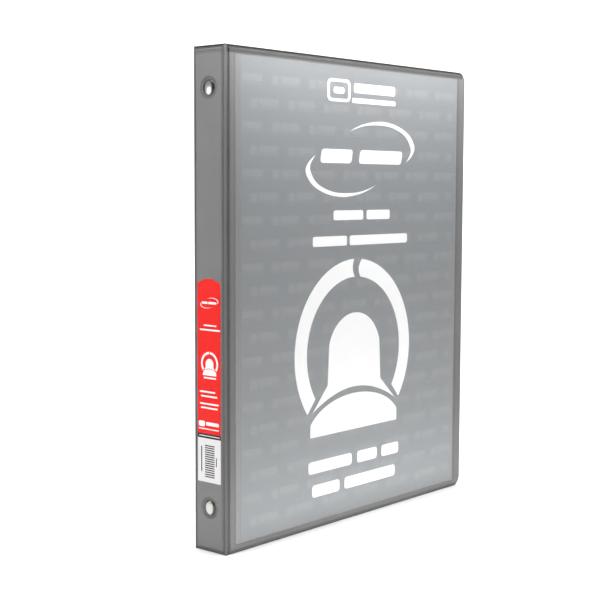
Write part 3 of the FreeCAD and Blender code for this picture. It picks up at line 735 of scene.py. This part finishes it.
def film_shell(name, rect, place, body, replaced, weld, base_extra=None, lift=None, sgrid=None, zgrid=None, mats=None):
    s0, s1, z0, z1 = rect
    rise = profile([(0, 0.0), (weld, 0.0), (weld + 0.35, 0.3), (weld + 0.8, 0.85), (weld + 1.3, 1.0), (99, 1.0)])

    def weld_d(S, Z):
        return np.maximum(np.minimum(np.minimum(S - s0, s1 - S), Z - z0), 0)

    def ripple(S, Z):
        return 0.5 + 0.5 * np.sin(S / 13.0 + 1.7 * np.sin(Z / 29.0)) * np.sin(Z / 17.0 + 1.1 * np.sin(S / 19.0))

    def low(S, Z, D):
        t = rise(weld_d(S, Z))
        n = (NV + 0.012) * (1 - t) + (FILM0 + 0.015 * ripple(S, Z)) * t
        if lift is not None:
            n = n + lift(S, Z)
        if base_extra is not None:
            n = n + base_extra(S, Z)
        return n

    def top(S, Z, D):
        t = rise(weld_d(S, Z))
        # the weld's fine cross ribs
        rib = 0.02 * (1 - t) * np.cos((S + Z) * 2 * math.pi / 1.1)
        return low(S, Z, D) + 0.05 + 0.07 * t + np.where(weld_d(S, Z) > 0.15, rib, 0)

    o = shell(name, s0, s1, z0, z1, sgrid if sgrid is not None else spaced(s1 - s0, FE, FE, 3.5), zgrid if zgrid is not None else spaced(z1 - z0, FE, [0, 0.1, 0.4, 1.0, 2.0], 3.5), top, low, place, 1, (), None, None, lambda S, Z, D: weld_d(S, Z) < weld + 0.3)
    dress(o, *(mats or (M_FILM, M_WELD)))
    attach(o, body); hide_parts(replaced)
    return o


film_shell("front_overlay_film", OV, place_front, "front_cover", "front_clear_overlay", 1.3, lift=cover_lift_map)
film_shell("back_overlay_film", OV, place_back, "back_cover", "back_clear_overlay", 1.3, lift=cover_lift_map)


def spine_lift(S, Z):
    dz = np.minimum(Z, H - Z)
    return 0.6 * wave(np.asarray(S) * 1.5, Z) * inner_fade(np.minimum(np.minimum(S, SPW - S) * 1.5, dz), 9)


film_shell("spine_overlay_film", SF, place_spine, "spine", "spine_clear_overlay", 0.5, base_extra=lambda S, Z: dimples(S, Z), lift=spine_lift,
           sgrid=spaced(SF[1] - SF[0], [0, 0.1, 0.25, 0.5, 0.75, 1.0, 1.3, 1.6], [0, 0.1, 0.25, 0.5, 0.75, 1.0, 1.3, 1.6], 0.5),
           zgrid=spaced(SF[3] - SF[2], FE, [0, 0.1, 0.4, 1.0, 2.0], 4.0, [(rz - SF[2], 9.0, 0.45) for _, _, rz, _r in RIVETS]), mats=(M_SFILM, M_SFILM))

# label card with an arched top
RISE = 3.1
ls0, ls1, lz0, lz2 = LAB
lz1 = lz2 - RISE


def arch(S, Z):
    t = (Z - lz0) / (lz1 - lz0)
    u = (S - (ls0 + ls1) / 2) / ((ls1 - ls0) / 2)
    half = (ls1 - ls0) / 2
    rad = (half * half + RISE * RISE) / (2 * RISE)
    top = lz1 + np.sqrt(np.maximum(rad * rad - (u * half) ** 2, 0)) - (rad - RISE)
    return S, lz0 + t * (top - lz0)


o = shell("spine_label_paper", ls0, ls1, lz0, lz1, spaced(ls1 - ls0, PE, PE, 0.75), spaced(lz1 - lz0, PE, PE, 2.0), lambda S, Z, D: PAPER1 + spine_lift(S, Z), lambda S, Z, D: PAPER0 + spine_lift(S, Z), place_spine, 1, (), None, arch)
dress(o, M_RED)
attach(o, "spine"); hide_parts("spine_label_card")


# inside pockets: three welded sides, a low curved mouth
ps0, ps1, pz0, pz1 = POC
NOTCH = 9.0
half_w = (ps1 - ps0) / 3.2
nr = half_w**2 / (2 * NOTCH) + NOTCH / 2


def mouth(S):
    x = np.abs(S - (ps0 + ps1) / 2)
    return np.where(x < half_w, pz1 - np.maximum(0, np.sqrt(np.maximum(nr * nr - x * x, 0)) - (nr - NOTCH)), pz1)


def pocket_warp(S, Z):
    t = (Z - pz0) / (pz1 - pz0)
    k = np.clip((t - 0.75) / 0.25, 0, 1)
    return S, Z + (mouth(S) - pz1) * k * k * (3 - 2 * k)


for side, place in (("front", place_front), ("back", place_back)):
    weld = 1.8
    rise = profile([(0, 0.0), (weld, 0.0), (weld + 0.4, 0.35), (weld + 0.9, 0.9), (weld + 1.5, 1.0), (99, 1.0)])

    def pd(S, Z):
        return np.maximum(np.minimum(np.minimum(S - ps0, ps1 - S), Z - pz0), 0)

    def low(S, Z, D):
        return NV + 0.012 + 0.10 * rise(pd(S, Z)) + cover_lift_map(S, Z)

    def top(S, Z, D):
        t = rise(pd(S, Z))
        soft = 0.03 * t * (0.5 + 0.5 * np.sin(S / 17.0 + np.sin(Z / 11.0)) * np.sin(Z / 13.0))
        return low(S, Z, D) + 0.09 + 0.03 * t + soft + 0.02 * (1 - t) * np.cos((S - Z) * 2 * math.pi / 1.3) * (pd(S, Z) > 0.15)

    def psh(S, Z, D):
        return as_shade(1 - 0.45 * groove(pd(S, Z), 0.0, 0.35, 1.0) - 0.22 * groove(pd(S, Z), weld, 0.6, 1.0))

    o = shell(f"{side}_pocket_sheet", ps0, ps1, pz0, pz1, spaced(ps1 - ps0, FE, FE, 4.0), spaced(pz1 - pz0, FE, [0, 0.1, 0.4, 1.0, 2.0], 4.0), top, low, place, -1, (), psh, pocket_warp)
    dress(o, M_POCKET)
    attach(o, f"{side}_cover"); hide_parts(f"{side}_inside_pocket")


# ------------------------------------------------------------------ generic print: bars, an arch band and a ring sign, no lettering
def ink(name, mat, body, place, polys=(), strips=(), lift=None, n0=INK0, n1=INK1):
    data = ([], [])
    prism(data, polys, n0, n1, place, lift)
    for a, b in strips:
        strip(data, a, b, n0, n1, place, lift)
    o = make(name, data[0], data[1], smooth=False)
    dress(o, mat)
    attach(o, body)
    return o


def smooth_line(pts, k=5):
    """Catmull-Rom line through the points."""
    out = []
    P = [pts[0]] + list(pts) + [pts[-1]]
    for i in range(1, len(P) - 2):
        p0, p1, p2, p3 = P[i - 1], P[i], P[i + 1], P[i + 2]
        for m in range(k):
            u = m / k
            out.append(tuple(0.5 * (2 * p1[c] + (p2[c] - p0[c]) * u + (2 * p0[c] - 5 * p1[c] + 4 * p2[c] - p3[c]) * u * u + (3 * p1[c] - p0[c] - 3 * p2[c] + p3[c]) * u**3) for c in (0, 1)))
    out.append(tuple(pts[-1]))
    return out


SWEEP_OUT = [(-13.6, 16.7), (-6.0, 19.8), (3.1, 22.3), (16.2, 24.0), (27.2, 23.6), (37.2, 21.7), (46.0, 18.5), (52.0, 14.4), (55.6, 9.0), (54.6, 5.0), (51.2, 1.5), (46.3, -1.6)]
SWEEP_IN = [(-13.6, 16.7), (-5.4, 19.2), (4.6, 21.1), (16.2, 21.7), (26.4, 21.3), (35.4, 19.5), (42.8, 16.8), (48.0, 13.2), (51.2, 8.4), (51.6, 5.2), (49.6, 1.8), (46.3, -1.6)]


def sweeps(cs, cz, k):
    """Two crescents facing each other round a title."""
    st = []
    for sgn in (1, -1):
        a = [(cs + sgn * k * x, cz + sgn * k * z) for x, z in smooth_line(SWEEP_OUT)]
        b = [(cs + sgn * k * x, cz + sgn * k * z) for x, z in smooth_line(SWEEP_IN)]
        st.append((a, b))
    return st


def ring_sign(cs, cz, k):
    """A split ring, a dome between its feet and a bowed base: (polygons, strips). k = 1 is a ring of radius 58.6."""
    st, po = [], []
    ro, ri = 58.6 * k, 47.2 * k

    def arc(a0, a1, b0, b1, n=44):
        a, b = [], []
        for i in range(n + 1):
            t = i / n
            th, ph = math.radians(a0 + (a1 - a0) * t), math.radians(b0 + (b1 - b0) * t)
            a.append((cs + ri * math.cos(th), cz + ri * math.sin(th)))
            b.append((cs + ro * math.cos(ph), cz + ro * math.sin(ph)))
        return a, b

    # the two halves; inner and outer lines end at different angles, which makes the slanted feet
    st.append(arc(93.4, 214.6, 93.4, 217.6))
    st.append(arc(83.6, -33.8, 83.6, -36.8))
    # bowed faces at the split
    for a0, side in ((93.4, -1), (83.6, 1)):
        th = math.radians(a0)
        p, q = (cs + ri * math.cos(th), cz + ri * math.sin(th)), (cs + ro * math.cos(th), cz + ro * math.sin(th))
        a, b = [], []
        for i in range(9):
            t = i / 8
            s, z = p[0] + (q[0] - p[0]) * t, p[1] + (q[1] - p[1]) * t
            bow = math.sin(math.pi * t)
            a.append((s, z))
            b.append((s + k * (2.1 - 1.7 * bow if side < 0 else -(0.05 + 2.6 * bow)), z))
        st.append((a, b))
    # dome with flared feet: from the bowed lower edge up
    low_top = []
    n = 60
    for i in range(n + 1):
        x = -43.2 + 87.8 * i / n
        lower = -37.2 + 14.0 * math.cos(math.pi * (x - 0.7) / 2 / 44.2) ** 0.8 if abs((x - 0.7) / 44.2) < 1 else -37.2
        if x < -27:
            upper = -19.6 + (x + 27.0) * (17.4 / 15.9)
        elif x > 26.6:
            upper = -20.4 - (x - 26.6) * (16.8 / 18.2)
        else:
            upper = -2.6 + math.sqrt(max(0.0, 27.0**2 - (x + 0.2) ** 2)) if abs(x + 0.2) < 27.0 else -2.6
        low_top.append((x, lower, max(upper, lower + 0.05)))
    # the upright sides need two points at the same place
    xs = []
    for x, lo, up in low_top:
        xs.append((x, lo, up))
    left = [(cs + k * x, cz + k * lo) for x, lo, up in xs]
    right = [(cs + k * x, cz + k * up) for x, lo, up in xs]
    st.append((left, right))
    # base
    a, b = [], []
    for i in range(49):
        t = -1 + 2 * i / 48
        x = 0.8 + 44.3 * t
        a.append((cs + k * x, cz - 50.8 * k))
        b.append((cs + k * x, cz + k * (-43.0 + 15.6 * (math.sqrt(1 - (t * 0.93) ** 2) - math.sqrt(1 - 0.93**2)) / (1 - math.sqrt(1 - 0.93**2)))))
    st.append((a, b))
    return po, st


def slant(s0, s1, z0, z1, r, k):
    zc = (z0 + z1) / 2
    return [(s + k * (z - zc), z) for s, z in rbar(s0, s1, z0, z1, r)]


strips = sweeps(123.7, 230.4, 1.0)
polys = [slant(82.4, 112.8, 227.3, 235.9, 2.4, 0.2), slant(120.4, 165.2, 227.3, 235.9, 2.4, 0.2)]
# top mark: an open square with a bar beside it and a thin bar below
sq_o, sq_i = rbar(88.2, 110.8, 265.2, 279.0, 3.6, 6), rbar(90.4, 108.6, 267.0, 277.2, 2.2, 6)
strips.append((sq_i + sq_i[:1], sq_o + sq_o[:1]))
polys += [rbar(94.2, 104.8, 270.1, 274.1, 1.8), rbar(114.4, 157.2, 271.4, 277.4, 1.6), rbar(112.6, 157.8, 265.1, 268.2, 1.2)]
for x0, x1 in ((94.8, 124.6), (128.0, 152.6)):
    polys.append(rbar(x0, x1, 191.9, 198.0, 1.6))
for x0, x1 in ((75.0, 108.2), (110.9, 172.0)):
    polys.append(rbar(x0, x1, 175.9, 182.1, 1.6))
for x0, x1, za, zb in ((71.8, 114.6, 35.0, 42.6), (120.2, 141.0, 35.0, 42.6), (145.9, 164.6, 35.0, 42.6), (75.4, 102.2, 20.0, 27.6), (107.3, 160.8, 20.0, 27.6)):
    polys.append(rbar(x0, x1, za, zb, 2.2))
sp, ss_ = ring_sign(117.0, 108.6, 1.0)
ink("front_insert_print", M_WHITE, "front_cover", place_front, polys + sp, strips + ss_, cover_lift)

# faint tiled marks over the whole sheet, well clear of the white print by height
faint = []
row = 0
z = INS[2] + 6.0
while z < INS[3] - 6.0:
    off = -6.0 if row % 2 else 8.0
    s = INS[0] + off
    while s < INS[1]:
        a, b = max(s, INS[0] + 1.0), min(s + 6.2, INS[1] - 1.0)
        if b - a > 1.5:
            faint.append(rbar(a, b, z, z + 5.6, 1.0, 2))
        a, b = max(s + 7.6, INS[0] + 1.0), min(s + 24.5, INS[1] - 1.0)
        if b - a > 2:
            faint.append(rbar(a, b, z + 1.4, z + 5.6, 0.6, 2))
            faint.append(rbar(a, b, z, z + 0.6, 0.25, 2))
        s += 33.0
    z += 13.6
    row += 1
ink("front_insert_faint_print", M_FAINT, "front_cover", place_front, faint, (), cover_lift, PAPER1 + 0.002, PAPER1 + 0.012)

# spine card: white foot with plain lines, a black strip, red above with white marks
c = (ls0 + ls1) / 2


def s_lift(s, z):
    return float(spine_lift(np.array(s), np.array(z)))


white = [rbar(ls0 + 0.02, ls1 - 0.02, lz0 + 0.02, 67.0, 0.05, 1)]
black = [rbar(ls0 + 0.02, ls1 - 0.02, 67.05, 69.7, 0.05, 1)]
for k in range(15):
    black.append(rbar(8.5, 16.3, 44.2 + k * 1.3, 44.2 + k * 1.3 + 0.68, 0.02, 1))
black.append(rbar(5.4, 6.2, 47.0, 62.2, 0.3, 2))
black.append(rbar(17.4, 18.1, 51.0, 56.4, 0.3, 2))
marks = [rbar(3.8, 20.4, 68.2, 68.6, 0.1, 1)]
sst = sweeps(12.35, 145.9, 0.131)
marks += [rbar(6.3, 11.0, 145.3, 146.6, 0.4, 2), rbar(11.6, 18.0, 145.3, 146.6, 0.4, 2)]
marks += [rbar(7.8, 18.0, 132.5, 133.3, 0.3, 2), rbar(4.7, 21.0, 129.9, 130.8, 0.3, 2)]
_p, _s = ring_sign(12.45, 110.8, 0.1175)
marks += _p
sst += _s
marks += [rbar(6.9, 17.9, 103.9, 104.8, 0.3, 2), rbar(7.8, 17.7, 102.0, 102.9, 0.3, 2)]
marks += [rbar(4.5, 16.9, 93.8, 94.7, 0.3, 2), rbar(5.5, 18.6, 91.2, 92.1, 0.3, 2)]
marks += [rbar(4.5, 19.8, 86.8, 87.7, 0.3, 2), rbar(5.4, 18.9, 84.4, 85.3, 0.3, 2)]
marks += [rbar(3.6, 8.6, 73.8, 77.0, 0.9, 4), rbar(9.5, 19.8, 74.6, 76.6, 0.5, 3), rbar(3.6, 19.8, 72.2, 72.8, 0.2, 2)]
ink("spine_label_white_foot", M_CARD, "spine", place_spine, white, (), s_lift, PAPER1 + 0.002, PAPER1 + 0.010)
ink("spine_label_black_print", M_BLACK, "spine", place_spine, black, (), s_lift, PAPER1 + 0.013, PAPER1 + 0.020)
ink("spine_label_white_print", M_WHITE, "spine", place_spine, marks, sst, s_lift, PAPER1 + 0.022, PAPER1 + 0.034)

# ------------------------------------------------------------------ rivets: turned, bright in the middle, with a painted dark rim that stands for reflection
def rivet(name):
    lo, hi = mm_box(name)
    zc, head_r = (lo[2] + hi[2]) / 2, (hi[2] - lo[2]) / 2
    n_top, n_end = XP - lo[0], -(hi[0] - XP)
    seat = NV - DIP + 0.15
    crown = n_end + 0.55
    f = profile([(0, 0.0), (1.0, -0.02), (2.0, -0.09), (3.0, -0.22), (3.8, -0.38), (4.25, -0.53), (4.42, -0.61), (4.5, -0.70)])
    pts = [(x * head_r / 4.5, n_top + float(f(np.array(x)))) for x in (0.4, 0.9, 1.4, 1.9, 2.4, 2.8, 3.2, 3.5, 3.8, 4.05, 4.25, 4.36, 4.44, 4.5)]
    pts += [(head_r, seat + 0.04), (head_r - 0.05, seat), (2.5, seat), (2.5, crown + 0.75), (2.44, crown + 0.7), (1.7, crown + 0.7), (1.7, crown), (2.9, crown), (3.0, crown - 0.08), (3.0, crown - 0.22),
            (2.9, crown - 0.36), (2.6, crown - 0.5), (2.15, crown - 0.55), (1.7, crown - 0.54), (1.35, crown - 0.38), (1.2, crown - 0.2), (1.12, crown + 0.3), (1.1, crown + 3.2)]
    k = 56
    verts, shade, faces = [(XP - n_top, 0.0, zc)], [1.0], []
    for rr, n in pts:
        for i in range(k):
            a = 2 * math.pi * i / k
            verts.append((XP - n, rr * math.cos(a), zc + rr * math.sin(a)))
            # painted reflection: each head is painted dark outside an upright ellipse round its middle, and the lower
            # head is painted darker against its brighter reflection; the shank and crimped end are a little darker
            e = math.hypot(rr * math.cos(a) / 2.75, rr * math.sin(a) / 3.9)
            on_head = n > seat + 0.02
            shade.append(float(1 - 0.95 * band_of(np.array(e), 1.0, 9.0, 0.16)) * (0.72 if "lower" in name else 1.0) if on_head else 0.75)
    verts.append((XP - pts[-1][1], 0.0, zc))
    shade.append(0.75)
    for i in range(k):
        j = (i + 1) % k
        faces.append((0, 1 + i, 1 + j))
        for m in range(len(pts) - 1):
            a, b = 1 + m * k, 1 + (m + 1) * k
            faces.append((a + i, b + i, b + j, a + j))
        a = 1 + (len(pts) - 1) * k
        faces.append((a + i, len(verts) - 1, a + j))
    o = make(f"{name}_turned", verts, faces, flip=signed_volume(verts, faces) < 0, shade=shade)
    o.data.set_sharp_from_angle(angle=math.radians(50))
    dress(o, M_RIVET)
    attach(o, "spine"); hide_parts(name)
    return o


for nm, _s, _z, _r in RIVETS:
    rivet(nm)

# ------------------------------------------------------------------ CAD pieces that show as they are
for name, o in frame["nodes"].items():
    if "rivet" in name:
        dress(o, M_RIVET)
    elif "blade" in name:
        dress(o, M_STEEL)
    elif any(k in name for k in ("ring", "trigger")):
        dress(o, M_NICKEL)
    elif "board" in name:
        dress(o, M_BOARD)
    elif "overlay" in name:
        dress(o, M_FILM)
    elif "insert" in name:
        dress(o, M_SHEET)
    elif "label" in name:
        dress(o, M_RED)
    elif "pocket" in name:
        dress(o, M_POCKET)
    else:
        dress(o, M_VINYL)
    if any(k in name for k in ("ring", "trigger", "blade", "plate")):
        for poly in o.data.polygons:
            poly.use_smooth = True
        o.data.set_sharp_from_angle(angle=math.radians(32))

# ------------------------------------------------------------------ floor, light, camera
def studio():
    verts, faces = [], []
    # flat floor, a wide sweep, and a wall behind the object, as seen from the camera
    az = math.radians(-49.13)
    back = Vector((math.sin(az), -math.cos(az), 0))
    side = Vector((math.cos(az), math.sin(az), 0))
    line = [(2.6, 0.0)] + [(2.6 - 0.4 * i, 0.0) for i in range(1, 9)]
    r = 0.9
    last = line[-1][0]
    for i in range(1, 17):
        a = math.radians(90 * i / 16)
        line.append((last - r * math.sin(a), r - r * math.cos(a)))
    line += [(last - r, r + 0.5 * i) for i in range(1, 6)]
    for d, h in line:
        for k in range(9):
            w = -3.2 + 0.8 * k
            p = back * d + side * w
            verts.append(((p.x) * 1000, (p.y) * 1000, h * 1000 - 0.02))
    m = 9
    for i in range(len(line) - 1):
        for k in range(m - 1):
            faces.append((i * m + k, i * m + k + 1, (i + 1) * m + k + 1, (i + 1) * m + k))
    o = make("studio_sweep", verts, faces)
    mt, nt, b = material("studio_paper")
    mp = coords(nt, False)
    n1 = node(nt, "ShaderNodeTexNoise", Scale=3.0, Detail=2.0)
    nt.links.new(mp.outputs[0], n1.inputs["Vector"])
    cr = ramp(nt, n1.outputs["Fac"], [(0.3, grey(0.90)), (0.7, grey(0.92))])
    nt.links.new(cr.outputs[0], b.inputs["Base Color"])
    b.inputs["Roughness"].default_value = 0.9
    b.inputs["Specular IOR Level"].default_value = 0.1
    dress(o, mt)


studio()


def area(name, loc, target, size, power, size_y=None):
    l = bpy.data.lights.new(name, "AREA")
    l.shape = "RECTANGLE"
    l.size, l.size_y = size, size_y or size
    l.energy = power
    o = bpy.data.objects.new(name, l)
    bpy.context.scene.collection.objects.link(o)
    o.location = loc
    o.rotation_mode = "QUATERNION"
    o.rotation_quaternion = (Vector(target) - Vector(loc)).to_track_quat("-Z", "Y")
    return o


az0 = math.radians(-49.13)
BACK = Vector((math.sin(az0), -math.cos(az0), 0))
SIDE = Vector((math.cos(az0), math.sin(az0), 0))
area("key", BACK * 1.1 + SIDE * 0.9 + Vector((0, 0, 1.25)), (0, 0, 0.15), 1.0, 2.0)
high = area("front_high", (0.025, -0.07, 0.335), (0.025, -0.0135, 0.275), 0.34, 0.41, 0.02)
low = area("front_low", (0.0, -0.07, 0.013), (0.0, -0.0135, 0.012), 0.28, 0.058, 0.016)
tip = area("spine_high", (-0.19, 0.0, 0.335), (-0.12, 0.0, 0.27), 0.03, 0.03)
for o in (high, low, tip):
    o.visible_camera = False
    o.visible_glossy = False
area("spine_side", (-0.55, 0.12, 0.78), (-0.12, 0, 0.24), 0.3, 2.9)
# a small soft box that the rivet heads mirror
box = area("rivet_glint", (-0.725, 0.523, 0.215), (-0.12, 0, 0.2), 0.24, 0.34)
box.visible_camera = False
area("top", Vector((0, 0, 1.7)), (0, 0, 0), 1.6, 14.0)
area("wall", BACK * -0.5 + Vector((0, 0, 1.7)), BACK * -1.5 + Vector((0, 0, 0.35)), 1.6, 26.0, 0.7)
world = bpy.data.worlds.new("studio")
bpy.context.scene.world = world
world.use_nodes = True
world.node_tree.nodes["Background"].inputs["Color"].default_value = (1, 1, 1, 1)
world.node_tree.nodes["Background"].inputs["Strength"].default_value = 0.32

AZ, EL, DIST, ROLL, LENS = math.radians(-49.129), math.radians(5.05), 0.7883, math.radians(0.1907), 76.138
target = Vector((-0.040636, 0.0, 0.142517))
b_ = Vector((math.sin(AZ) * math.cos(EL), -math.cos(AZ) * math.cos(EL), math.sin(EL)))
r_ = Vector((math.cos(AZ), math.sin(AZ), 0))
u_ = b_.cross(r_)
right = r_ * math.cos(ROLL) + u_ * math.sin(ROLL)
up = -r_ * math.sin(ROLL) + u_ * math.cos(ROLL)
cam_data = bpy.data.cameras.new("camera")
cam = bpy.data.objects.new("camera", cam_data)
bpy.context.scene.collection.objects.link(cam)
cam_data.sensor_width = 36
cam_data.sensor_fit = "HORIZONTAL"
cam_data.lens = LENS
cam_data.clip_start = 0.01
cam_data.clip_end = 50
m4 = Matrix((right, up, b_)).transposed().to_4x4()
m4.translation = target + b_ * DIST
cam.matrix_world = m4
bpy.context.scene.camera = cam
bpy.context.scene.view_settings.view_transform = "Standard"
bpy.context.scene.view_settings.look = "None"
